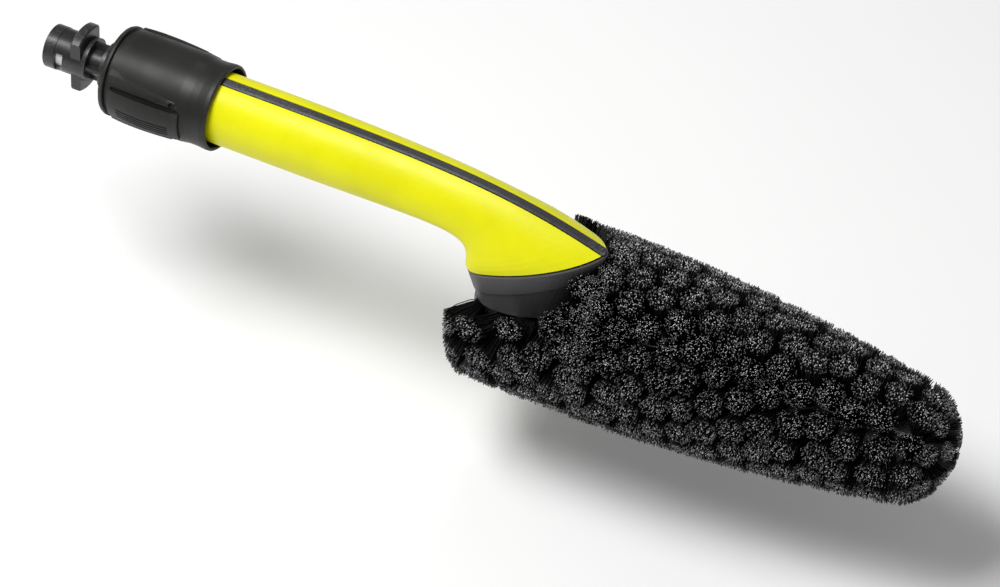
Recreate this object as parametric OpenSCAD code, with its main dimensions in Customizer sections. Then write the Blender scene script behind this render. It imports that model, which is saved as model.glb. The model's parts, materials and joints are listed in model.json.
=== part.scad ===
// Wheel brush with a bayonet connector, a union nut, a two-shell handle and a tapered brush head.
// X runs along the handle from the inlet to the brush tip, Z is up, and Y = 0 is the plane of symmetry.
// The origin is the middle of the bayonet spigot's open end.

/* [Bayonet connector] */
// Radius of the spigot that enters the spray gun
spigot_r = 10.25; // [10:0.05:10.5]
// Distance from the open end to the near side of the lugs
lug_x = 14.5; // [14:0.1:15.5]
// Thickness of a lug along the axis
lug_t = 5.1; // [4.5:0.1:5.4]
// Radius over the two lugs
lug_r = 16; // [15.4:0.1:16.4]
// Half of a lug's width across its flat sides
lug_half_w = 8.8; // [8:0.1:9.9]
// How far the lugs are turned about the axis, in degrees
lug_turn = -5; // [-30:1:30]

/* [Union nut] */
// Where the nut begins
nut_x = 34.8; // [34:0.1:35]
// Length of the nut
nut_len = 55.5; // [54:0.5:60]
// Radius of the nut's smooth panels
nut_r = 21; // [20.6:0.1:21.5]
// Radius of the skirt's bore around the handle
skirt_bore_r = 18.9; // [18.6:0.1:19.1]
// How far a grip pad stands above the smooth panels at its crown
pad_rise = 2.3; // [1.6:0.1:2.6]
// Travel of the nut's thread while it loosens
thread_travel = 4.5; // [3:0.5:5]

/* [Handle] */
// Half width of the handle tube
tube_half_w = 15.8; // [15.4:0.1:16.4]
// Height of the handle tube's top above the axis
tube_top = 17.5; // [17:0.1:17.8]
// Depth of the handle tube's underside below the axis
tube_low = 18; // [17:0.1:18.3]
// Wall of the two handle shells
wall = 2.2; // [1.8:0.1:2.4]
// Where the straight tube turns into the neck
neck_x = 135; // [130:1:145]
// Rear end of the neck's foot
foot_rear = [217.3, -26.2];
// Front end of the neck's foot
foot_tip = [281.8, -2];
// Half width of the neck's foot
foot_half_w = 21; // [19:0.1:21.5]
// Width of the channel for the top strip
channel_w = 5.2; // [4.8:0.1:6]

/* [Brush head] */
// Height of the brush axis
brush_z = -51; // [-52:0.5:-50]
// Radius of the brush core
core_r = 13; // [12.5:0.1:14]
// Radius over the bristles at their fullest
bristle_r = 42; // [40:0.5:43]
// Where the first bristle ring begins
bristle_x = 221; // [220:1:222]
// Length of one bristle ring, which holds two rows of tufts
ring_len = 20; // [19:0.5:20]

/* [Hidden] */
$fn = 72;

BLACK = "#262628";
ANTHRACITE = "#47464b";
YELLOW = "#f4ea0a";
RUBBER = "#1a1a1a";
STEEL = "#b8babd";

// Axial layout of the joint between connector, nut and handle
nut_end = nut_x + nut_len;
lip_end = nut_x + 3;
washer_x = lip_end + 0.05;
washer_t = 1;
flange_x = washer_x + washer_t + 0.05;
flange_end = flange_x + 2.9;
socket_x = flange_end + 0.1;
thread_end = 64;
shell_x = thread_end + 2.4;
tail_end = 60;
socket_end = 100;
o_ring_x = 52;
dog_end = socket_x + thread_travel + 2.5;

// Radii that fit each other, with 0.05 mm of radial clearance for each running fit
fit = 0.05;
thread_r = 15;
tail_r = 7;
flange_r = 13.9;
lip_r = 11.4;
sleeve_r = 7.9;
inlet_r = 5;
passage_r = 4.2;
pipe_r = 5;
pipe_bore_r = 3.5;

// Water pipe: straight along X, a quarter bend, then straight down into the base
pipe_x = 92;
bend_r = 30;
port_x = 240;
pipe_end_z = -38.4;

// Brush base and the flat seat on the core that carries it
seat_z = brush_z + 9;
gasket_t = 1;
base_z = seat_z + gasket_t;
floor_z = base_z + 4;
core_x = 222;
core_straight_end = 300;
core_end = 438;
core_tip_r = 7.5;
core_gap = 0.3;
base_screw_at = [[231.5, 5.4], [231.5, -5.4], [256, 5.4], [256, -5.4]];
shell_screw_at = [[110, -9.3], [158, -9.3], [243, -3]];

ring_count = 11;
taper_x = 290;
tip_x = bristle_x + ring_count * ring_len;
tip_len = 15;

// ---- Helpers -------------------------------------------------------------------------------

// Turns a profile of [radius, x] points about the X axis, from angle a0 to a1.
// Angles are measured from the top, towards the right-hand side of the handle.
module turned(points, a0 = 0, a1 = 360) {
    rotate([0, 90, 0])
        rotate([0, 0, a0 + 180])
            rotate_extrude(angle = a1 - a0)
                polygon(points);
}

// A cylinder along X
module rod_x(x0, x1, r) {
    translate([x0, 0, 0])
        rotate([0, 90, 0])
            cylinder(h = x1 - x0, r = r);
}

// A torus around the X axis
module ring_x(x, major_r, minor_r) {
    translate([x, 0, 0])
        rotate([0, 90, 0])
            rotate_extrude()
                translate([major_r, 0])
                    circle(r = minor_r, $fn = 32);
}

// Places children on the nut's surface at angle a, with their Z axis pointing outwards
module at_angle(a) {
    rotate([a, 0, 0])
        children();
}

function bezier(p, t) =
    pow(1 - t, 3) * p[0] + 3 * pow(1 - t, 2) * t * p[1]
    + 3 * (1 - t) * t * t * p[2] + pow(t, 3) * p[3];
function ease(t) = t * t * (3 - 2 * t);
function mix(a, b, t) = a + (b - a) * t;

// ---- Neck surface --------------------------------------------------------------------------
// The handle is a stack of egg-shaped sections. Section t stands between a point on the heel
// curve and a point on the ridge curve: upright at t = 0 and in the foot's plane at t = 1.

ridge = [[neck_x, tube_top], [200.7, tube_top - 0.9], [235, 16], foot_tip];
heel = [[neck_x, -tube_low], [207, 2 - tube_low], [219.6, -8], foot_rear];
tube_belly = tube_low / (tube_low + tube_top);

// An egg section is [heel point, ridge point, half width, belly place, heel power, nose power]
function neck_section(t) = [
    bezier(heel, t),
    bezier(ridge, t),
    mix(tube_half_w, foot_half_w, pow(ease(t), 5.8)),
    mix(tube_belly, 0.253, pow(ease(t), 0.7)),
    mix(2, 2.92, pow(ease(t), 6)),
    mix(0.5, 0.67, sqrt(ease(t)))
];
function tube_section(x) = [[x, -tube_low], [x, tube_top], tube_half_w, tube_belly, 2, 0.5];

// Place along the section, from 0 at the heel to 1 at the ridge, for angle a from the ridge
function egg_s(e, a) =
    cos(a) > 0 ? e[3] + (1 - e[3]) * cos(a) : e[3] + e[3] * cos(a);
// Half width of the section at angle a
function egg_w(e, a) =
    cos(a) > 0 ? e[2] * pow(sin(a), 2 * e[5])
               : e[2] * pow(max(0, 1 - pow(-cos(a), e[4])), 1 / e[4]);
// Angle at which the section is as wide as the strip's channel
function channel_angle(e) = asin(pow(channel_w / 2 / e[2], 0.5 / e[5]));
function egg_point(e, s, w) =
    let (p = e[0] + (e[1] - e[0]) * s) [p[0], w, p[1]];

shell_steps = 36;
neck_steps = 26;
ledge_depth = 1.1;
parting_gap = 0.05;

// Closed outline of the left half shell at one section
function shell_outline(e) =
    let (
        a0 = channel_angle(e),
        long = norm(e[1] - e[0]),
        top = egg_s(e, a0),
        ledge = top - ledge_depth / long,
        inner_top = top - 2 * ledge_depth / long,
        inner_low = wall / long,
        inner_k = (e[2] - wall) / e[2]
    )
    concat(
        [for (i = [0:shell_steps])
            let (a = a0 + (180 - a0) * i / shell_steps)
            egg_point(e, egg_s(e, a), max(parting_gap, egg_w(e, a)))],
        [for (i = [shell_steps:-1:0])
            let (a = 180 * i / shell_steps)
            egg_point(
                e, mix(inner_low, inner_top, egg_s(e, a)),
                max(parting_gap, inner_k * egg_w(e, a))
            )],
        [egg_point(e, ledge, parting_gap), egg_point(e, ledge, channel_w / 2)]
    );

// Joins equal outlines into one closed solid. cap lists the faces that close the first outline.
module skin(outlines, cap) {
    n = len(outlines[0]);
    last = len(outlines) - 1;
    polyhedron(
        points = [for (o = outlines) each o],
        faces = concat(
            [for (k = [0:last - 1]) for (i = [0:n - 1])
                let (j = (i + 1) % n)
                [k * n + i, k * n + j, (k + 1) * n + j, (k + 1) * n + i]],
            [for (f = cap) [for (i = [len(f) - 1:-1:0]) f[i]]],
            [for (f = cap) [for (i = f) last * n + i]]
        ),
        convexity = 6
    );
}

handle_sections = concat(
    [tube_section(shell_x)],
    [for (k = [0:neck_steps]) neck_section(k / neck_steps)]
);

// ---- Connector body ------------------------------------------------------------------------

module bayonet_connector() {
    land_end = 5.6;
    slot_end = 10.4;
    barrel_r = spigot_r - 0.25;
    neck_r = 6.6;
    cage_x = lug_x + lug_t;
    cage_end = 31.4;
    rib_t = 1.6;
    rib_w = 19.4;
    dog_r0 = 10.4;
    dog_r1 = 13.4;
    color(BLACK)
    difference() {
        union() {
            // spigot: a land that seals, then a slightly slimmer barrel with the clip slots
            turned([[0, 0], [spigot_r - 1, 0], [spigot_r - 0.3, 0.15], [spigot_r, 0.45],
                    [spigot_r, land_end], [barrel_r, land_end + 0.2],
                    [barrel_r, cage_x + 0.8], [0, cage_x + 0.8]]);
            rotate([lug_turn, 0, 0])
                lugs();
            // cored neck: a core, two discs and the ribs between them
            rod_x(lug_x, flange_x, neck_r);
            rod_x(cage_x + 0.7, cage_x + 2.6, 10.5);
            rod_x(cage_end - 1.8, cage_end, 11.2);
            for (a = [-18, 72])
                at_angle(a)
                    translate([cage_x, -rib_t / 2, -rib_w / 2])
                        cube([cage_end - cage_x - 1, rib_t, rib_w]);
            rod_x(cage_end - 0.01, flange_x, 8.6);
            // flange under the nut's lip, dogs and sealing tail
            rod_x(flange_x, flange_end, flange_r);
            rod_x(flange_end - 0.01, tail_end, tail_r - fit);
            for (a = [90, 270])
                turned([[dog_r0, flange_end - 0.01], [dog_r1, flange_end - 0.01],
                        [dog_r1, dog_end], [dog_r0, dog_end]], a - 12, a + 12);
        }
        rod_x(-1, 13, sleeve_r + 0.02);
        rod_x(12, tail_end + 1, passage_r);
        // slots through the barrel on both sides
        for (a = [88, 268])
            turned([[sleeve_r - 1, land_end + 0.4], [spigot_r + 1, land_end + 0.4],
                    [spigot_r + 1, slot_end], [sleeve_r - 1, slot_end]], a - 30, a + 30);
        // groove of the O-ring
        turned([[5.5, o_ring_x - 1], [8, o_ring_x - 1], [8, o_ring_x + 1], [5.5, o_ring_x + 1]]);
    }
}

// Two opposite lugs with flat sides and a round outer edge
module lugs() {
    chamfer = 0.7;
    intersection() {
        turned([[spigot_r - 2, lug_x], [lug_r - chamfer, lug_x], [lug_r, lug_x + chamfer],
                [lug_r, lug_x + lug_t - chamfer], [lug_r - chamfer, lug_x + lug_t],
                [spigot_r - 2, lug_x + lug_t]]);
        translate([lug_x - 1, -lug_half_w, -lug_r - 1])
            cube([lug_t + 2, 2 * lug_half_w, 2 * lug_r + 2]);
    }
}

module inlet_sleeve() {
    color("#c9cacb")
    difference() {
        rod_x(1.6, 12.9, sleeve_r);
        rod_x(1, 14, inlet_r);
    }
}

module connector_o_ring() {
    color(RUBBER)
        ring_x(o_ring_x, 6.25, 0.7);
}

module thrust_washer() {
    color(STEEL)
    difference() {
        rod_x(washer_x, washer_x + washer_t, flange_r);
        rod_x(washer_x - 1, washer_x + washer_t + 1, 8.9);
    }
}

// ---- Union nut -----------------------------------------------------------------------------

pad_x0 = nut_x + 5.6;
pad_x1 = nut_x + 42.2;
plate_half_a = 21.5;
// How far a crowned surface rises at x, from 0 well outside the pad to 1 at its middle
function crown(x) = sin(180 * (x - pad_x0 + 5) / (pad_x1 - pad_x0 + 10));
// A point at radius r and angle a from the top, at x
function polar(x, r, a) = [x, -r * sin(a), r * cos(a)];

module union_nut() {
    color(BLACK)
    difference() {
        union() {
            turned(nut_profile());
            for (side = [90, 270])
                at_angle(side)
                    grip_pad();
        }
        for (side = [90, 270])
            at_angle(side)
                pad_grooves();
    }
}

function nut_profile() = [
    [lip_r, nut_x], [nut_r - 1.6, nut_x], [nut_r - 0.2, nut_x + 0.8], [nut_r + 0.4, nut_x + 2],
    [nut_r + 0.4, nut_x + 3], [nut_r - 1.1, nut_x + 3.5], [nut_r - 1.1, nut_x + 4.9],
    [nut_r - 0.1, nut_x + 5.3], [nut_r + 0.1, nut_x + 20], [nut_r - 0.1, nut_x + 40],
    [nut_r - 0.8, nut_x + 45], [nut_r - 0.8, nut_x + 49], [nut_r - 0.4, nut_end - 2.4],
    [nut_r - 0.5, nut_end - 0.7], [nut_r - 1, nut_end], [skirt_bore_r + 0.3, nut_end],
    [skirt_bore_r, nut_end - 0.4], [skirt_bore_r, thread_end], [thread_r + fit, thread_end],
    [thread_r + fit, lip_end], [lip_r, lip_end]
];

// Profile from radius low up to a crowned surface, sunk below the pads' crown by sink
crown_steps = 7;
function crowned(x0, x1, low, sink) = concat(
    [[low, x1], [low, x0]],
    [for (i = [0:crown_steps])
        let (x = mix(x0, x1, i / crown_steps)) [nut_r + pad_rise * crown(x) - sink, x]]
);

// One grip pad around the top: a crowned plate between two ridges
module grip_pad() {
    turned(crowned(pad_x0, pad_x1, nut_r - 1.5, 0), -plate_half_a, plate_half_a);
    pad_ridge();
    mirror([0, 1, 0])
        pad_ridge();
}

// A ridge with two sloping faces, which runs beside the plate and closes in on it
module pad_ridge() {
    steps = 8;
    x0 = pad_x0 - 0.6;
    x1 = pad_x1 - 3.2;
    low_r = nut_r - 1.5;
    skin(
        [for (i = [0:steps])
            let (t = i / steps, x = mix(x0, x1, t), outer = mix(48, 34, t), inner = mix(26, 25, t))
            [polar(x, nut_r - 0.15, outer),
             polar(x, nut_r + 0.85 * pad_rise * pow(crown(x), 0.6) * (1 - 0.5 * t), mix(40, 31, t * t)),
             polar(x, nut_r - 0.3, inner),
             polar(x, low_r, inner),
             polar(x, low_r, outer)]],
        [[0, 1, 2, 3, 4]]
    );
}

// Deep grooves beside the plate, fine grooves along its lower half, and a dimple at the end of
// each ridge
module pad_grooves() {
    groove_a = 23.5;
    dimple_a = 29;
    for (s = [-1, 1]) {
        turned([[nut_r - 1, pad_x0 + 1.4], [nut_r + 5, pad_x0 + 1.4],
                [nut_r + 5, pad_x1 - 1.6], [nut_r - 1, pad_x1 - 1.6]],
               s * groove_a - 2.2, s * groove_a + 2.2);
        at_angle(s * dimple_a)
            translate([pad_x1 - 4.2, 0, nut_r - 1])
                cylinder(h = 6, r = 1.5);
    }
    for (a = [2.5, 6.5, 10.5, 14.5])
        turned(crowned(pad_x0 + 5, pad_x1 - 5, nut_r + 5, 0.45), a - 0.9, a + 0.9);
}

// ---- Handle --------------------------------------------------------------------------------

// Carries the thread and the connector's seat, and plugs into the front of the two shells
module threaded_socket() {
    color(BLACK)
    difference() {
        union() {
            rod_x(socket_x, thread_end + 0.3, thread_r);
            rod_x(thread_end + 0.2, shell_x - 0.1, tube_half_w);
            rod_x(shell_x - 0.2, socket_end, tube_half_w - wall - 0.3);
        }
        rod_x(socket_x - 1, tail_end + 2, tail_r);
        rod_x(tail_end, socket_end + 1, pipe_bore_r);
        rod_x(pipe_x - 0.2, socket_end + 1, pipe_r + 0.02);
        turned([[0, pipe_x + 4.7], [6.2, pipe_x + 4.7], [6.2, pipe_x + 8], [0, pipe_x + 8]]);
        for (a = [90, 270])
            turned([[9.9, socket_x - 1], [13.7, socket_x - 1], [13.7, dog_end + 0.6],
                    [9.9, dog_end + 0.6]], a - 13, a + 13);
    }
}

// Cap of a shell outline: quads between its outer and inner arcs, and the ledge at the top
shell_cap = concat(
    [for (i = [0:shell_steps - 1])
        [i, i + 1, 2 * shell_steps - i, 2 * shell_steps + 1 - i]],
    [[0, 2 * shell_steps + 1, 2 * shell_steps + 2, 2 * shell_steps + 3]]
);

module half_shell() {
    skin([for (e = handle_sections) shell_outline(e)], shell_cap);
}

post_r = 3.4;
shank_r = 1.5;
head_recess_r = 2.7;

module handle_left() {
    color(YELLOW)
    difference() {
        union() {
            half_shell();
            for (p = shell_screw_at)
                screw_post(p);
        }
        for (p = shell_screw_at)
            translate([p[0], 0, p[1]])
                rotate([-90, 0, 0]) {
                    cylinder(h = 40, r = shank_r + 0.2);
                    translate([0, 0, screw_seat(p)])
                        cylinder(h = 20, r = head_recess_r);
                }
    }
}

module handle_right() {
    color(YELLOW)
    difference() {
        union() {
            mirror([0, 1, 0])
                half_shell();
            for (p = shell_screw_at)
                mirror([0, 1, 0])
                    screw_post(p);
        }
        for (p = shell_screw_at)
            translate([p[0], 1, p[1]])
                rotate([90, 0, 0])
                    cylinder(h = 8.5, r = shank_r + 0.02);
    }
}

// Distance from the parting plane at which a shell screw's head sits
function screw_seat(p) = p[0] < 200 ? 8.6 : 10.8;

// A post from the parting plane into the wall of the left shell
module screw_post(p) {
    translate([p[0], parting_gap, p[1]])
        rotate([-90, 0, 0])
            cylinder(h = screw_seat(p) + 2.2, r = post_r);
}

module shell_screws() {
    color(STEEL)
    for (p = shell_screw_at)
        translate([p[0], 0, p[1]])
            rotate([-90, 0, 0]) {
                translate([0, 0, -6])
                    cylinder(h = screw_seat(p) + 6.1, r = shank_r);
                translate([0, 0, screw_seat(p)])
                    screw_head(head_recess_r - 0.2, 1.6);
            }
}

// A pan head with a six-sided socket
module screw_head(r, h) {
    difference() {
        cylinder(h = h, r1 = r, r2 = r * 0.8);
        translate([0, 0, h * 0.4])
            cylinder(h = h, r = r * 0.42, $fn = 6);
    }
}

// Inlay that covers the joint of the two shells along the ridge
strip_half_w = channel_w / 2 - 0.4;
strip_rise = 0.25;
function strip_outline(e) =
    let (
        long = norm(e[1] - e[0]),
        low = egg_s(e, channel_angle(e)) - (ledge_depth - 0.05) / long,
        high = 1 + strip_rise / long,
        shoulder = 1 - 0.12 / long
    )
    [
        egg_point(e, low, -strip_half_w), egg_point(e, shoulder, -strip_half_w),
        egg_point(e, high, -strip_half_w * 0.55), egg_point(e, high, strip_half_w * 0.55),
        egg_point(e, shoulder, strip_half_w), egg_point(e, low, strip_half_w)
    ];

module top_strip() {
    color(ANTHRACITE)
        skin([for (e = handle_sections) strip_outline(e)], [[0, 1, 2, 3, 4, 5]]);
}

module water_tube() {
    bend_x = port_x - bend_r;
    color("#8f9296")
    difference() {
        union() {
            rod_x(pipe_x, bend_x + 0.01, pipe_r);
            pipe_bend(pipe_r);
            translate([port_x, 0, pipe_end_z])
                cylinder(h = -bend_r - pipe_end_z + 0.01, r = pipe_r);
        }
        rod_x(pipe_x - 1, bend_x + 0.01, pipe_bore_r);
        pipe_bend(pipe_bore_r);
        translate([port_x, 0, pipe_end_z - 1])
            cylinder(h = -bend_r - pipe_end_z + 1.01, r = pipe_bore_r);
    }
}

// Quarter bend of a round pipe, from along +X to straight down
module pipe_bend(r) {
    translate([port_x - bend_r, 0, -bend_r])
        rotate([90, 0, 0])
            rotate_extrude(angle = 90)
                translate([bend_r, 0])
                    circle(r = r);
}

module tube_o_rings() {
    color(RUBBER) {
        ring_x(pipe_x + 6, pipe_r + 0.62, 0.58);
        translate([port_x, 0, floor_z + 0.7])
            rotate_extrude()
                translate([pipe_r + 0.72, 0])
                    circle(r = 0.66, $fn = 32);
    }
}

// ---- Brush head ----------------------------------------------------------------------------

// The base hangs from the foot's plane and reaches down over both sides of the core
foot_dir = (foot_tip - foot_rear) / norm(foot_tip - foot_rear);
foot_down = [foot_dir[1], -foot_dir[0]];
base_steps = 60;
base_gap_h = 1.2;
skirt_z = base_z - 3;
skirt_half_w = 19.6;
seat_rear_x = 222.6;
seat_tip_x = 268;

// Egg section of the base. ur and ut say how deep it lies at the rear and at the tip, from 0 under
// the foot to 1 at the seat. inset pulls it in and lift raises it towards the foot.
function base_section(ur, ut, inset = 0, lift = 0) =
    let (
        u = (ur + ut) / 2,
        drop = (base_gap_h - lift) * foot_down,
        rear = mix(foot_rear + drop, [seat_rear_x, skirt_z], ur),
        tip = mix(foot_tip + drop, [seat_tip_x, skirt_z], ut),
        dir = (tip - rear) / norm(tip - rear)
    )
    [rear + dir * inset, tip - dir * (1.6 * inset - 0.8),
     mix(foot_half_w - 0.2, skirt_half_w, u) - inset, mix(0.253, 0.32, u), mix(2.92, 3.2, u), 0.67];

function base_outline(e) = [
    for (i = [0:base_steps - 1])
        let (a = 360 * i / base_steps, half = a <= 180 ? a : 360 - a, w = egg_w(e, half))
        egg_point(e, egg_s(e, half), a <= 180 ? w : -w)
];
floor_section = [[226.6, floor_z], [266, floor_z], 11.6, 0.42, 2.6, 0.6];

// Hollow base: a lower part, a crease, the upper band and an upstand inside the dark gap
module brush_base() {
    color(ANTHRACITE)
    difference() {
        skin(
            concat(
                [for (p = [[1, 1, 0.7, 0], [0.9, 0.7, 0.7, 0], [0.78, 0.42, 0.7, 0],
                           [0.7, 0.31, 0.7, 0], [0.66, 0.29, 0, 0], [0.4, 0.17, 0, 0],
                           [0.06, 0.02, 0, 0], [0, 0, 0.4, 0], [0, 0, 2.2, 0], [0, 0, 2.2, 0.9],
                           [0, 0, 3.6, 0.9], [0.4, 0.3, 4, 0]])
                    base_outline(base_section(p[0], p[1], p[2], p[3]))],
                [base_outline(floor_section)]
            ),
            [[for (i = [0:base_steps - 1]) i]]
        );
        // saddle around the core, up to the flat seat
        intersection() {
            translate([0, 0, brush_z])
                rod_x(core_x - 10, core_straight_end, core_r + core_gap);
            translate([core_x - 10, -20, brush_z])
                cube([80, 40, base_z - brush_z]);
        }
        translate([port_x, 0, base_z - 1])
            cylinder(h = 10, r = pipe_bore_r);
        translate([port_x, 0, pipe_end_z - 0.1])
            cylinder(h = 10, r = pipe_r + 0.02);
        for (p = base_screw_at)
            translate([p[0], p[1], base_z - 1])
                cylinder(h = 10, r = shank_r + 0.2);
    }
}

module base_gasket() {
    color(RUBBER)
    difference() {
        translate([226, -7.6, seat_z])
            cube([36, 15.2, gasket_t]);
        translate([port_x, 0, seat_z - 1])
            cylinder(h = 3, r = pipe_bore_r);
        for (p = base_screw_at)
            translate([p[0], p[1], seat_z - 1])
                cylinder(h = 3, r = shank_r + 0.2);
    }
}

module base_screws() {
    color(STEEL)
    for (p = base_screw_at) {
        translate([p[0], p[1], seat_z - 9])
            cylinder(h = floor_z - seat_z + 9.1, r = shank_r);
        translate([p[0], p[1], floor_z])
            screw_head(2.6, 1.7);
    }
}

function core_radius(x) =
    x < core_straight_end ? core_r
                          : mix(core_r, core_tip_r, (x - core_straight_end) / (core_end - core_straight_end));

module brush_core() {
    channel_r = 3;
    color(BLACK)
    difference() {
        translate([0, 0, brush_z])
            difference() {
                turned([[0, core_x], [core_r - 2, core_x], [core_r, core_x + 2],
                        [core_r, core_straight_end], [core_tip_r, core_end], [0, core_end]]);
                rod_x(233, core_end + 1, channel_r);
                rod_x(core_end - 9, core_end + 1, channel_r + 0.6);
                // water outlets between the rows of tufts
                for (k = [3:10])
                    at_angle(k % 2 == 0 ? 90 : 0)
                        translate([bristle_x + k * ring_len, 0, -20])
                            cylinder(h = 40, r = 0.8);
            }
        translate([core_x - 1, -20, seat_z])
            cube([272 - core_x, 40, 20]);
        translate([port_x, 0, brush_z])
            cylinder(h = 20, r = channel_r);
        for (p = base_screw_at)
            translate([p[0], p[1], seat_z - 9.2])
                cylinder(h = 20, r = shank_r + 0.02);
    }
}

module core_end_plug() {
    color(BLACK)
    translate([0, 0, brush_z])
        turned([[0, core_end - 8.6], [3, core_end - 8.6], [3.58, core_end - 7.6],
                [3.58, core_end + 0.1], [6.6, core_end + 0.1], [6.6, core_end + 1.4],
                [5.2, core_end + 2.4], [0, core_end + 2.4]]);
}

// Radius over the bristles: full at the rear, then a long taper
function bristle_radius(x) =
    x < taper_x ? bristle_r : bristle_r - 13.5 * pow((x - taper_x) / 145, 1.8);

// Half angle that ring number k leaves open at the top for the brush base
function base_gap(k) = k < 2 ? 73 : k == 2 ? 50 : 0;

// One ring of bristles as a plain envelope of two rows of tufts
module bristle_ring(k) {
    x0 = bristle_x + k * ring_len;
    x1 = x0 + ring_len;
    start_r = k == 0 ? bristle_r - 5 : bristle_radius(x0);
    color("#141414")
    translate([0, 0, brush_z])
        turned([[core_radius(x0) + core_gap, x0], [start_r, x0],
                [bristle_radius(mix(x0, x1, 0.3)), mix(x0, x1, 0.3)],
                [bristle_radius(mix(x0, x1, 0.65)), mix(x0, x1, 0.65)],
                [bristle_radius(x1), x1], [core_radius(x1) + core_gap, x1]],
               base_gap(k), 360 - base_gap(k));
}

module bristle_ring_01() { bristle_ring(0); }
module bristle_ring_02() { bristle_ring(1); }
module bristle_ring_03() { bristle_ring(2); }
module bristle_ring_04() { bristle_ring(3); }
module bristle_ring_05() { bristle_ring(4); }
module bristle_ring_06() { bristle_ring(5); }
module bristle_ring_07() { bristle_ring(6); }
module bristle_ring_08() { bristle_ring(7); }
module bristle_ring_09() { bristle_ring(8); }
module bristle_ring_10() { bristle_ring(9); }
module bristle_ring_11() { bristle_ring(10); }

// The last tufts fan out from the end of the core
module bristle_tip() {
    r0 = bristle_radius(tip_x);
    color("#141414")
    translate([0, 0, brush_z])
        turned([[0, tip_x], [r0, tip_x], [r0 * 0.93, tip_x + 0.3 * tip_len],
                [r0 * 0.75, tip_x + 0.65 * tip_len], [r0 * 0.45, tip_x + 0.9 * tip_len],
                [0, tip_x + tip_len]]);
}

bayonet_connector();
inlet_sleeve();
connector_o_ring();
thrust_washer();
union_nut();
threaded_socket();
handle_left();
handle_right();
shell_screws();
top_strip();
water_tube();
tube_o_rings();
brush_base();
base_gasket();
base_screws();
brush_core();
core_end_plug();
bristle_ring_01();
bristle_ring_02();
bristle_ring_03();
bristle_ring_04();
bristle_ring_05();
bristle_ring_06();
bristle_ring_07();
bristle_ring_08();
bristle_ring_09();
bristle_ring_10();
bristle_ring_11();
bristle_tip();
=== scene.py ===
import json
import math

import bpy
import numpy as np
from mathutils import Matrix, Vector


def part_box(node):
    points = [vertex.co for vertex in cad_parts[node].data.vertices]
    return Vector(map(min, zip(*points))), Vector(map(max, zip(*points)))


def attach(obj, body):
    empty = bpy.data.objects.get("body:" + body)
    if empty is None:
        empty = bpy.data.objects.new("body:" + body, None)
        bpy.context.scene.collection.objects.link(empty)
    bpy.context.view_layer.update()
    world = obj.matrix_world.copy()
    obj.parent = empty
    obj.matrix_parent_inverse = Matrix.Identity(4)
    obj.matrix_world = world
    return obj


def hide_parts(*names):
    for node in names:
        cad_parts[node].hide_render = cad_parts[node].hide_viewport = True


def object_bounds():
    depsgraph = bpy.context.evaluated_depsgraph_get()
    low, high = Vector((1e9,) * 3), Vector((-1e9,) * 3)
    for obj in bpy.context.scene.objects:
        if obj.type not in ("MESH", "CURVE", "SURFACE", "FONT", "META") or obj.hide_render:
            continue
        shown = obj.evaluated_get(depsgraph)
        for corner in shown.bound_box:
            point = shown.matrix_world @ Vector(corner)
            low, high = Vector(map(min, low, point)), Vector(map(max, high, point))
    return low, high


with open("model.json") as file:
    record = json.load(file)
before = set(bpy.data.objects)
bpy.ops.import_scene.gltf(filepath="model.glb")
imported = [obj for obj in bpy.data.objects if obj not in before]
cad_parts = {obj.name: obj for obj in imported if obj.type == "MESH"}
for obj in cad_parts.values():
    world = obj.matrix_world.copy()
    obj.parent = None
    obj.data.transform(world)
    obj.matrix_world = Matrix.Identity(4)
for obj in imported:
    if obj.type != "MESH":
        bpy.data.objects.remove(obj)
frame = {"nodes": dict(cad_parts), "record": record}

# Looks of a wheel brush: materials for the CAD parts, and real tufts in place of the plain bristle solids.
# Everything is in metres, in the CAD's frame: X along the handle, Z up, the brush axis parallel to X.

MM = 0.001
cad_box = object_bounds()
box_low, box_high = (Vector(v) for v in cad_box)


# ---- Camera, light and floor -----------------------------------------------------------------

CAMERA_AZIMUTH = math.radians(27.0)
CAMERA_ELEVATION = math.radians(47.5)
CAMERA_DISTANCE = 2.4
CAMERA_LENS = 193.1
AIM_FROM_CENTRE = Vector((8.1, -13.2, -2.75)) * MM
FLOOR_GAP = 47 * MM
FLOOR_SIZE = 12.0


def make_camera():
    a, e = CAMERA_AZIMUTH, CAMERA_ELEVATION
    back = Vector((math.sin(a) * math.cos(e), -math.cos(a) * math.cos(e), math.sin(e)))
    data = bpy.data.cameras.new("camera")
    data.lens = CAMERA_LENS
    data.sensor_width = 36.0
    data.clip_end = 20.0
    camera = bpy.data.objects.new("camera", data)
    camera.location = (box_low + box_high) / 2 + AIM_FROM_CENTRE + back * CAMERA_DISTANCE
    camera.rotation_euler = back.to_track_quat("Z", "Y").to_euler()
    bpy.context.scene.collection.objects.link(camera)
    bpy.context.scene.camera = camera


def area_light(name, place, aim, size, power):
    data = bpy.data.lights.new(name, "AREA")
    data.shape = "RECTANGLE"
    data.size, data.size_y = size
    data.energy = power
    light = bpy.data.objects.new(name, data)
    light.location = place
    light.rotation_euler = (Vector(place) - Vector(aim)).to_track_quat("Z", "Y").to_euler()
    bpy.context.scene.collection.objects.link(light)


def make_light():
    world = bpy.data.worlds.new("studio")
    bpy.context.scene.world = world
    world.use_nodes = True
    background = world.node_tree.nodes["Background"]
    background.inputs["Color"].default_value = (1.0, 1.0, 1.0, 1.0)
    background.inputs["Strength"].default_value = 0.26
    middle = (box_low + box_high) / 2
    area_light("overhead", middle + Vector((-0.34, -0.42, 1.34)), middle, (0.75, 0.55), 21.5)
    area_light("rear", middle + Vector((-0.3, 1.3, 1.5)), middle, (0.4, 0.3), 3.0)
    area_light("front", middle + Vector((0.3, -1.6, 0.25)), middle, (1.2, 0.5), 1.3)


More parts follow.
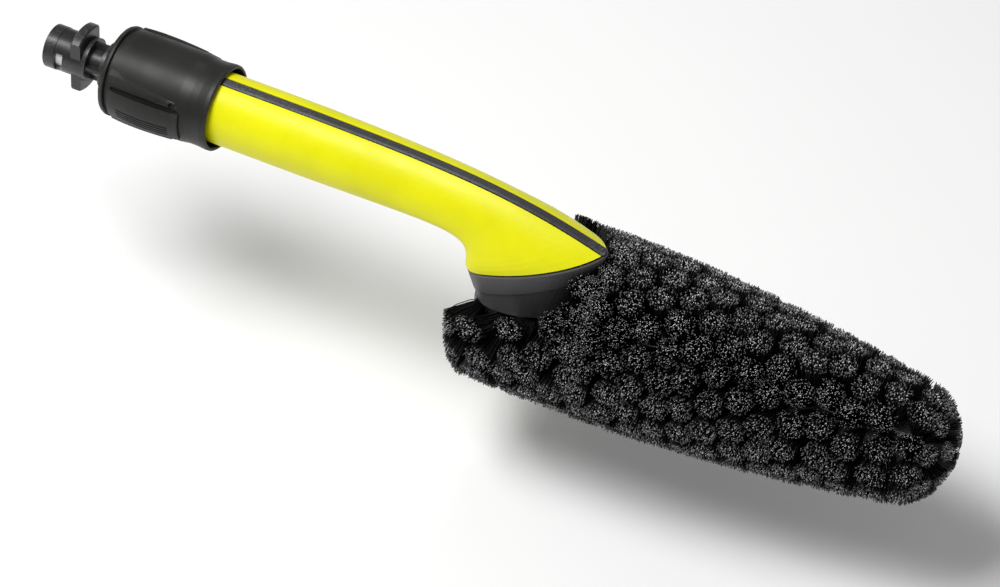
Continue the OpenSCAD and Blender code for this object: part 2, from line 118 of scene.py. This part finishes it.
def make_floor():
    z = box_low.z - FLOOR_GAP
    half = FLOOR_SIZE / 2
    mesh = bpy.data.meshes.new("floor")
    mesh.from_pydata([(-half, -half, z), (half, -half, z), (half, half, z), (-half, half, z)], [],
                     [(0, 1, 2, 3)])
    floor = bpy.data.objects.new("floor", mesh)
    bpy.context.scene.collection.objects.link(floor)
    material = bpy.data.materials.new("floor")
    material.use_nodes = True
    shader = material.node_tree.nodes["Principled BSDF"]
    shader.inputs["Base Color"].default_value = (0.93, 0.93, 0.93, 1)
    shader.inputs["Roughness"].default_value = 0.9
    mesh.materials.append(material)


# ---- Materials ---------------------------------------------------------------------------------

class Nodes:
    """A material's node tree with short calls for the few nodes the looks are made of."""

    def __init__(self, name):
        self.material = bpy.data.materials.new(name)
        self.material.use_nodes = True
        self.tree = self.material.node_tree
        self.shader = self.tree.nodes["Principled BSDF"]
        self.coord = self.tree.nodes.new("ShaderNodeTexCoord").outputs["Object"]

    def link(self, output, target):
        self.tree.links.new(output, target)

    def noise(self, scale, detail=4.0, rough=0.5, stretch=None):
        node = self.tree.nodes.new("ShaderNodeTexNoise")
        node.inputs["Scale"].default_value = scale
        node.inputs["Detail"].default_value = detail
        node.inputs["Roughness"].default_value = rough
        source = self.coord
        if stretch:
            mapping = self.tree.nodes.new("ShaderNodeMapping")
            mapping.inputs["Scale"].default_value = stretch
            self.link(self.coord, mapping.inputs["Vector"])
            source = mapping.outputs["Vector"]
        self.link(source, node.inputs["Vector"])
        return node.outputs["Fac"]

    def ramp(self, fac, stops):
        node = self.tree.nodes.new("ShaderNodeValToRGB")
        ramp = node.color_ramp
        ramp.elements[0].position, ramp.elements[0].color = stops[0][0], (*stops[0][1], 1)
        ramp.elements[1].position, ramp.elements[1].color = stops[-1][0], (*stops[-1][1], 1)
        for place, colour in stops[1:-1]:
            ramp.elements.new(place).color = (*colour, 1)
        self.link(fac, node.inputs["Fac"])
        return node.outputs["Color"]

    def spread(self, fac, low, high, from_low=0.3, from_high=0.7):
        node = self.tree.nodes.new("ShaderNodeMapRange")
        node.inputs["From Min"].default_value = from_low
        node.inputs["From Max"].default_value = from_high
        node.inputs["To Min"].default_value = low
        node.inputs["To Max"].default_value = high
        self.link(fac, node.inputs["Value"])
        return node.outputs["Result"]

    def bump(self, height, depth):
        node = self.tree.nodes.new("ShaderNodeBump")
        node.inputs["Strength"].default_value = 1.0
        node.inputs["Distance"].default_value = depth
        self.link(height, node.inputs["Height"])
        return node.outputs["Normal"]

    def product(self, a, b):
        node = self.tree.nodes.new("ShaderNodeMath")
        node.operation = "MULTIPLY"
        self.link(a, node.inputs[0])
        self.link(b, node.inputs[1])
        return node.outputs[0]

    def mix(self, fac, under, over):
        """The colour output under, changed to the constant colour over where fac is 1"""
        node = self.tree.nodes.new("ShaderNodeMix")
        node.data_type = "RGBA"
        sockets = {s.name: s for s in node.inputs if s.enabled}
        self.link(fac, sockets["Factor"])
        self.link(under, sockets["A"])
        sockets["B"].default_value = (*over, 1)
        return [s for s in node.outputs if s.enabled][0]

    def edge_wear(self):
        """0 on flats and 1 on sharp edges"""
        geometry = self.tree.nodes.new("ShaderNodeNewGeometry")
        return self.spread(geometry.outputs["Pointiness"], 0.0, 1.0, 0.52, 0.62)

    def set(self, **values):
        for name, value in values.items():
            self.shader.inputs[name.replace("_", " ")].default_value = value


def plastic(name, dark, light, rough, grain=2600.0, grain_depth=0.02, worn=None, gloss=0.5):
    """Moulded plastic: a little colour drift, a fine moulded grain, and paler edges where worn is given.
    grain is the grain's scale and grain_depth its depth in mm."""
    n = Nodes(name)
    colour = n.ramp(n.noise(28.0, 5.0, 0.6), [(0.35, dark), (0.65, light)])
    if worn:
        scuffs = n.spread(n.noise(900.0, 3.0, 0.7), 0.0, 0.8, 0.42, 0.62)
        colour = n.mix(n.product(n.edge_wear(), scuffs), colour, worn)
    n.link(colour, n.shader.inputs["Base Color"])
    smear = n.noise(70.0, 6.0, 0.65)
    n.link(n.spread(smear, rough - 0.06, rough + 0.08), n.shader.inputs["Roughness"])
    n.link(n.bump(n.noise(grain, 2.0, 0.6), grain_depth * MM), n.shader.inputs["Normal"])
    n.set(Specular_IOR_Level=gloss)
    return n.material


def yellow_plastic():
    return plastic("yellow_plastic", (0.69, 0.675, 0.0008), (0.76, 0.745, 0.001), 0.4, grain=1500.0,
                   grain_depth=0.005, gloss=0.25)


def rubber():
    return plastic("rubber", (0.012, 0.012, 0.012), (0.02, 0.02, 0.02), 0.7, grain=1800.0,
                   grain_depth=0.03)


def steel():
    n = Nodes("steel")
    streaks = n.noise(180.0, 5.0, 0.6, (40.0, 2.0, 2.0))
    n.link(n.ramp(streaks, [(0.3, (0.42, 0.43, 0.44)), (0.7, (0.62, 0.63, 0.64))]),
           n.shader.inputs["Base Color"])
    n.link(n.spread(streaks, 0.22, 0.42), n.shader.inputs["Roughness"])
    n.link(n.bump(streaks, 0.01 * MM), n.shader.inputs["Normal"])
    n.set(Metallic=1.0)
    return n.material


def bristle_side():
    """Black nylon: satin, with a drift from black to dark grey from one filament to the next."""
    n = Nodes("bristle_side")
    tone = n.tree.nodes.new("ShaderNodeAttribute")
    tone.attribute_name = "tone"
    n.link(n.ramp(tone.outputs["Fac"], [(0.0, (0.007, 0.007, 0.007)), (1.0, (0.04, 0.04, 0.042))]),
           n.shader.inputs["Base Color"])
    grime = n.noise(500.0, 3.0, 0.6)
    n.link(n.spread(grime, 0.34, 0.5), n.shader.inputs["Roughness"])
    n.link(n.bump(n.noise(4000.0, 2.0), 0.01 * MM), n.shader.inputs["Normal"])
    n.set(Specular_IOR_Level=0.5)
    return n.material


def bristle_end_glint():
    """The cut end of a filament, painted paler than its side: a painted highlight for the glint of light
    on the cut ends.
    """
    n = Nodes("bristle_end_glint")
    tone = n.tree.nodes.new("ShaderNodeAttribute")
    tone.attribute_name = "tone"
    # painted highlight: the cut ends get a pale colour for the glint of light on them, brighter where the
    # filament's tone is higher
    n.link(n.ramp(tone.outputs["Fac"], [(0.0, (0.02, 0.02, 0.02)), (0.45, (0.17, 0.17, 0.18)),
                                        (1.0, (0.75, 0.75, 0.77))]),
           n.shader.inputs["Base Color"])
    n.link(n.spread(n.noise(2500.0, 2.0), 0.4, 0.6), n.shader.inputs["Roughness"])
    n.link(n.bump(n.noise(6000.0, 2.0), 0.01 * MM), n.shader.inputs["Normal"])
    return n.material


def make_slot_materials():
    return {
        "yellow_plastic": yellow_plastic(),
        "nut_plastic": plastic("nut_plastic", (0.007, 0.0072, 0.0064), (0.012, 0.012, 0.0108), 0.46,
                               grain=2400.0, grain_depth=0.03, worn=(0.07, 0.07, 0.07), gloss=0.32),
        "black_plastic": plastic("black_plastic", (0.006, 0.006, 0.0062), (0.01, 0.01, 0.0103), 0.34,
                                 grain=2000.0, grain_depth=0.012, worn=(0.08, 0.08, 0.08), gloss=0.6),
        "anthracite_plastic": plastic("anthracite_plastic", (0.015, 0.014, 0.018),
                                      (0.023, 0.0215, 0.027), 0.5, grain=2600.0, grain_depth=0.02,
                                      worn=(0.12, 0.12, 0.125)),
        # painted light: a paler copy of the anthracite plastic, lifting the base out of its shade
        "base_plastic_painted_light": plastic("base_plastic_painted_light", (0.078, 0.077, 0.081), (0.098, 0.097, 0.102), 0.5,
                                grain=2600.0, grain_depth=0.03, worn=(0.15, 0.15, 0.155)),
        "pale_plastic": plastic("pale_plastic", (0.55, 0.55, 0.56), (0.66, 0.66, 0.67), 0.4),
        "tube_plastic": plastic("tube_plastic", (0.26, 0.27, 0.28), (0.32, 0.33, 0.34), 0.4),
        "rubber": rubber(),
        "steel": steel(),
    }


def dress_cad_nodes(materials):
    """Gives each CAD node its slot's material. The base is paler than the strip, which shares its slot:
    the paler colour is painted light, standing in for light on the shaded base.
    """
    slots = {s["node"]: s["material_slot"] for s in frame["record"]["subparts"]}
    slots["brush_base"] = "base_plastic_painted_light"
    for name, obj in frame["nodes"].items():
        if slots[name] in materials:
            obj.data.materials.clear()
            obj.data.materials.append(materials[slots[name]])


# ---- Bristles ----------------------------------------------------------------------------------

RING_NAMES = [f"bristle_ring_{k:02d}" for k in range(1, 12)]
RING_LEN = 20 * MM
ROWS = 18
ROW_PITCH = len(RING_NAMES) * RING_LEN / ROWS
ROW_TURN = 10.0  # every second row is turned by this many degrees
TUFT_PITCH = 14.7 * MM

# One tuft
FILAMENTS = 170
FILAMENT_R = 0.24 * MM
GLINT_END_LEN = 0.55 * MM  # length of the end of a filament painted pale, a painted highlight for the glint on cut ends
SIDES = 3
HOLE_R = 1.3 * MM  # of the hole in the core that holds the tuft
ROOT_DEPTH = 1 * MM  # how far a tuft's root lies inside the core
TUFT_HALF_LEN = 5.7 * MM  # at the trimmed end, along the brush
TUFT_HALF_WIDTH = 5.6 * MM  # at the trimmed end, around the brush
SPREAD_PER_LEAN = 0.13 * MM  # a leaning tuft is this much longer for each degree
SHORTEST_REACH = 14 * MM
PROUD = 1.0 * MM  # how far a filament may stand out of the trimmed outline

# The core
core_low, core_high = (Vector(v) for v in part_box("brush_core"))
ring_low, ring_high = (Vector(v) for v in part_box("bristle_ring_05"))
AXIS_Z = (ring_low.z + ring_high.z) / 2
FIRST_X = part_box(RING_NAMES[0])[0].x
CORE_R = AXIS_Z - core_low.z
CORE_TAPER_X = FIRST_X + 79 * MM
CORE_END = core_high.x
CORE_END_R = 7.5 * MM

# The outline to which the filaments are trimmed
FULL_R = (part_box(RING_NAMES[1])[1].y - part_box(RING_NAMES[1])[0].y) / 2
EXTRA_R = 0.7 * MM
REAR_ROUND = 7 * MM
REAR_ROUND_X = FIRST_X + 6 * MM
REAR_ROUND_LEN = 8 * MM
TAPER_X = FIRST_X + 69 * MM
TAPER_LEN = 145 * MM
TAPER_DROP = 14.6 * MM
TAPER_POWER = 1.7
TIP_X = FIRST_X + 209 * MM
TIP_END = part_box("bristle_tip")[1].x - 2.5 * MM
TIP_POWER = 1.8

# The base, around which the tufts leave room
base_low, base_high = (Vector(v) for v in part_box("brush_base"))
BASE_BELLY = 0.3  # share of the base's length at which it is widest
BASE_CLEARANCE = 0.3 * MM
BASE_SIDE_END = 84.0  # tufts closer to the top than this angle, in degrees, stand beside the base


def core_radius(x):
    taper = np.clip((x - CORE_TAPER_X) / (CORE_END - CORE_TAPER_X), 0, 1)
    return CORE_R + (CORE_END_R - CORE_R) * taper


def brush_radius(x):
    """Radius to which the filaments are trimmed at x"""
    x = np.asarray(x, float)
    taper = np.clip((np.minimum(x, TIP_X) - TAPER_X) / TAPER_LEN, 0, None) ** TAPER_POWER
    rear = np.clip((REAR_ROUND_X - x) / REAR_ROUND_LEN, 0, 1.5) ** 2
    body = FULL_R + EXTRA_R - TAPER_DROP * taper - REAR_ROUND * rear
    past = np.clip((x - TIP_X) / (TIP_END - TIP_X), 0, 1)
    return body * np.sqrt(1 - past ** TIP_POWER)


def root_angle(x):
    """Smallest angle from the top, in degrees, at which a tuft is rooted beside the base"""
    along = FIRST_X + np.array([0, 30, 40, 44, 48]) * MM
    return float(np.interp(x, along, [82.0, 82.0, 68.0, 40.0, 0.0]))


def open_angle(x):
    """Half of the gap that the tuft ends leave at the top for the brush base, in degrees"""
    along = FIRST_X + np.array([0, 8, 18, 24, 39, 42, 48, 53]) * MM
    return float(np.interp(x, along, [67.0, 66.0, 60.0, 55.5, 55.0, 40.0, 20.0, 0.0]))


def tuft(rng, x, r, angle, lean, count, spread_x, spread_a, curl=0.0):
    """Filaments of one tuft as an array of points, (count, 5, 3), and their tones.
    angle is in radians from the top, lean in degrees towards +X. Spreads are half sizes at the
    trimmed end, and curl is how far that end is bent sideways, towards smaller angles."""
    lean = math.radians(lean)
    radial = np.array([0.0, -math.sin(angle), math.cos(angle)])
    along = np.array([1.0, 0.0, 0.0])
    around = np.cross(radial, along)
    axis = radial * math.cos(lean) + along * math.sin(lean)
    side = along * math.cos(lean) - radial * math.sin(lean)
    turn = rng.uniform(0, 2 * math.pi, count)
    out = np.sqrt(rng.uniform(0, 1, count))
    out[0] = 0
    u, v = out * np.cos(turn), out * np.sin(turn)
    root = (np.array([x, 0, AXIS_Z]) + radial * r
            + (u[:, None] * side + v[:, None] * around) * HOLE_R)
    reach = max(SHORTEST_REACH, float(brush_radius(x)) - r)
    drift = rng.normal(0, 0.3 * MM, (count, 2)) + rng.normal(0, 0.5 * MM, 2)
    spread_x, spread_a = (w * rng.uniform(0.92, 1.08) for w in (spread_x, spread_a))
    end = (root + axis * reach
           + (u * spread_x + drift[:, 0])[:, None] * side
           + (v * spread_a + drift[:, 1])[:, None] * around)
    direction = (end - root) / np.linalg.norm(end - root, axis=1, keepdims=True)
    # trim each filament where it meets the brush's outline
    low, high = np.full(count, 4 * MM), np.full(count, 60 * MM)
    for _ in range(16):
        mid = (low + high) / 2
        p = root + direction * mid[:, None]
        outside = np.hypot(p[:, 1], p[:, 2] - AXIS_Z) > brush_radius(p[:, 0])
        high = np.where(outside, mid, high)
        low = np.where(outside, low, mid)
    longest = low[0] + rng.normal(0, 0.6 * MM)
    length = np.minimum(low, longest + 0.5 * MM * out) + rng.normal(0, 0.5 * MM, count)
    bend = rng.normal(0, 0.5 * MM, (count, 2))
    t = np.stack([np.zeros(count), np.full(count, 0.35), np.full(count, 0.7),
                  1 - GLINT_END_LEN / length, np.ones(count)], 1)
    points = (root[:, None, :] + direction[:, None, :] * (length[:, None] * t)[:, :, None]
              + (bend[:, :1] * side + bend[:, 1:] * around)[:, None, :] * (4 * t * (1 - t))[:, :, None])
    points += curl * around * (t ** 2)[:, :, None]
    # a curled filament is drawn back inside the outline
    from_axis = points[..., 1:] - [0, AXIS_Z]
    distance = np.linalg.norm(from_axis, axis=2, keepdims=True)
    limit = brush_radius(points[..., 0])[..., None]
    points[..., 1:] = [0, AXIS_Z] + from_axis * np.minimum(1, (limit + PROUD) / distance)
    return points, rng.uniform(0, 1, count) * (1 - 0.75 * out ** 3)


def filament_mesh(name, points, tones, materials):
    """A mesh of thin filaments with closed ends; the last stretch and the end cap are painted pale, a
    painted glint of light
    """
    count, rings = points.shape[:2]
    tangent = np.gradient(points, axis=1)
    tangent /= np.linalg.norm(tangent, axis=2, keepdims=True)
    helper = np.where(np.abs(tangent[..., :1]) > 0.9, [[[0.0, 1.0, 0.0]]], [[[1.0, 0.0, 0.0]]])
    side_a = np.cross(tangent, helper)
    side_a /= np.linalg.norm(side_a, axis=2, keepdims=True)
    side_b = np.cross(tangent, side_a)
    around = np.arange(SIDES) * 2 * math.pi / SIDES
    outward = (np.cos(around)[:, None] * side_a[:, :, None, :]
               + np.sin(around)[:, None] * side_b[:, :, None, :])
    verts = (points[:, :, None, :] + FILAMENT_R * outward).reshape(-1, 3)
    first = np.arange(count)[:, None] * rings * SIDES
    quads = []
    for k in range(rings - 1):
        for s in range(SIDES):
            t = (s + 1) % SIDES
            quads.append([k * SIDES + s, k * SIDES + t, (k + 1) * SIDES + t, (k + 1) * SIDES + s])
    quads = (first[:, :, None] + np.array(quads)[None]).reshape(-1, 4)
    root_cap = first + np.arange(SIDES)[::-1]
    end_cap = first + (rings - 1) * SIDES + np.arange(SIDES)
    loops = np.concatenate([quads.ravel(), root_cap.ravel(), end_cap.ravel()])
    sizes = np.concatenate([np.full(len(quads), 4), np.full(2 * count, SIDES)])
    starts = np.concatenate([[0], np.cumsum(sizes)[:-1]])
    mesh = bpy.data.meshes.new(name)
    mesh.vertices.add(len(verts))
    mesh.vertices.foreach_set("co", verts.ravel().astype(np.float32))
    mesh.loops.add(len(loops))
    mesh.loops.foreach_set("vertex_index", loops.astype(np.int32))
    mesh.polygons.add(len(sizes))
    mesh.polygons.foreach_set("loop_start", starts.astype(np.int32))
    smooth = np.r_[np.ones(len(quads), bool), np.zeros(2 * count, bool)]
    mesh.polygons.foreach_set("use_smooth", smooth)
    in_filament = np.arange(len(quads)) % ((rings - 1) * SIDES)
    # the last stretch of each filament takes the painted glint material
    pale = in_filament >= (rings - 2) * SIDES
    material_index = np.r_[pale, np.zeros(count, bool), np.ones(count, bool)].astype(np.int32)
    for material in materials:
        mesh.materials.append(material)
    mesh.polygons.foreach_set("material_index", material_index)
    mesh.update(calc_edges=True)
    tone = mesh.attributes.new("tone", "FLOAT", "POINT")
    tone.data.foreach_set("value", np.repeat(tones, rings * SIDES).astype(np.float32))
    return mesh


def in_base(points):
    """Which of these points lie inside the brush base or the foot above it?"""
    x, y, z = points[..., 0], np.abs(points[..., 1]), points[..., 2]
    depth = np.clip((base_high.z - z) / (base_high.z - base_low.z), 0, 1)
    rear = base_low.x + 5 * MM * np.clip((depth - 0.6) / 0.4, 0, 1)
    front = base_high.x - 14 * MM * depth
    share = np.clip((x - rear) / (front - rear), 0, 1)
    half = base_high.y - 1 * MM * depth
    nose = half * (1 - np.clip((share - BASE_BELLY) / (1 - BASE_BELLY), 0, 1) ** 2) ** 0.67
    tail = half * (1 - np.clip((BASE_BELLY - share) / BASE_BELLY, 0, 1) ** 2.9) ** 0.35
    width = np.where(share > BASE_BELLY, nose, tail)
    return (z > base_low.z) & (x > rear) & (x < front) & (y < width + BASE_CLEARANCE)


def clear_of_base(points):
    """Which filaments stay out of the base, from their roots to where their painted-glint ends start?"""
    stretches = [(points[:, k:k + 1], points[:, k + 1:k + 2]) for k in range(3)]
    share = np.linspace(0, 1, 6)[None, :, None]
    path = np.concatenate([a + (b - a) * share for a, b in stretches], axis=1)
    return ~in_base(path).any(axis=1)


# The short row in front of the base, and the angle from the top at which it ends
NOSE_ROW_X = FIRST_X + 48.5 * MM
NOSE_ROW_END = 75.0

# Rows of tufts: place along X, turn of the row, lean of the row and lean beside the base, in degrees.
# Rows near the ends lean outwards, and rows beside the base lean towards its nearer end.
rows = [[FIRST_X + (row + 0.5) * ROW_PITCH, ROW_TURN * (row % 2), 0.0, 0.0] for row in range(ROWS)]
rows[0][2:] = [-9.0, -17.0]
rows[1][2:] = [-3.0, -11.0]
rows[2][3] = 6.0
rows[3][3] = 10.0
rows[4][3] = 14.0
rows[-2][2:] = [5.0, 5.0]
rows[-1][2:] = [14.0, 14.0]
rows.append([NOSE_ROW_X, 0.0, 14.0, 17.0])


def make_bristle_ring(k, materials):
    """The tufts rooted within ring k's stretch of the core"""
    rng = np.random.default_rng(100 + k)
    points, tones = [], []
    for x, turn, lean, base_lean in rows:
        if int((x - FIRST_X) / RING_LEN) != k:
            continue
        r = float(brush_radius(x + 3 * MM))
        size = min(1.0, r / FULL_R + 0.2)
        tufts = round(2 * math.pi * r / TUFT_PITCH)
        for i in range(tufts):
            end = turn + i * 360 / tufts
            side = 1 if end < 180 else -1
            from_top = min(end, 360 - end)
            if from_top < open_angle(x) or (x == NOSE_ROW_X and from_top > NOSE_ROW_END):
                continue
            root = max(from_top, root_angle(x)) + rng.normal(0, 1.6)
            curl = side * math.radians(root - from_top) * FULL_R
            p, t = tuft(rng, x + rng.normal(0, 0.7 * MM), core_radius(x) - ROOT_DEPTH,
                        math.radians(side * root), base_lean if from_top < BASE_SIDE_END else lean,
                        int(FILAMENTS * size), TUFT_HALF_LEN + SPREAD_PER_LEAN * abs(lean),
                        TUFT_HALF_WIDTH, curl)
            keep = clear_of_base(p)
            points.append(p[keep])
            tones.append(t[keep])
    add_bristles(RING_NAMES[k], points, tones, materials)


def make_bristle_tip(materials):
    """Two circles of tufts at the core's end, the inner one leaning further forward"""
    rng = np.random.default_rng(200)
    points, tones = [], []
    for x, r, lean, tufts, phase in ((CORE_END - 2 * MM, 6.5 * MM, 36.0, 8, 0.15),
                                     (CORE_END, 4.5 * MM, 66.0, 4, 0.35)):
        for i in range(tufts):
            angle = math.radians((i + phase) * 360 / tufts)
            p, t = tuft(rng, x, r, angle, lean, FILAMENTS, 5.6 * MM, 5.2 * MM)
            points.append(p)
            tones.append(t)
    add_bristles("bristle_tip", points, tones, materials)


def add_bristles(node, points, tones, materials):
    mesh = filament_mesh("tufts_" + node, np.concatenate(points), np.concatenate(tones), materials)
    piece = bpy.data.objects.new("tufts_" + node, mesh)
    bpy.context.scene.collection.objects.link(piece)
    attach(piece, "handle")
    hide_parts(node)


# ---- The scene ---------------------------------------------------------------------------------

bpy.context.scene.view_settings.view_transform = "Standard"
make_camera()
make_light()
make_floor()
dress_cad_nodes(make_slot_materials())
bristle_materials = [bristle_side(), bristle_end_glint()]
for k in range(len(RING_NAMES)):
    make_bristle_ring(k, bristle_materials)
make_bristle_tip(bristle_materials)
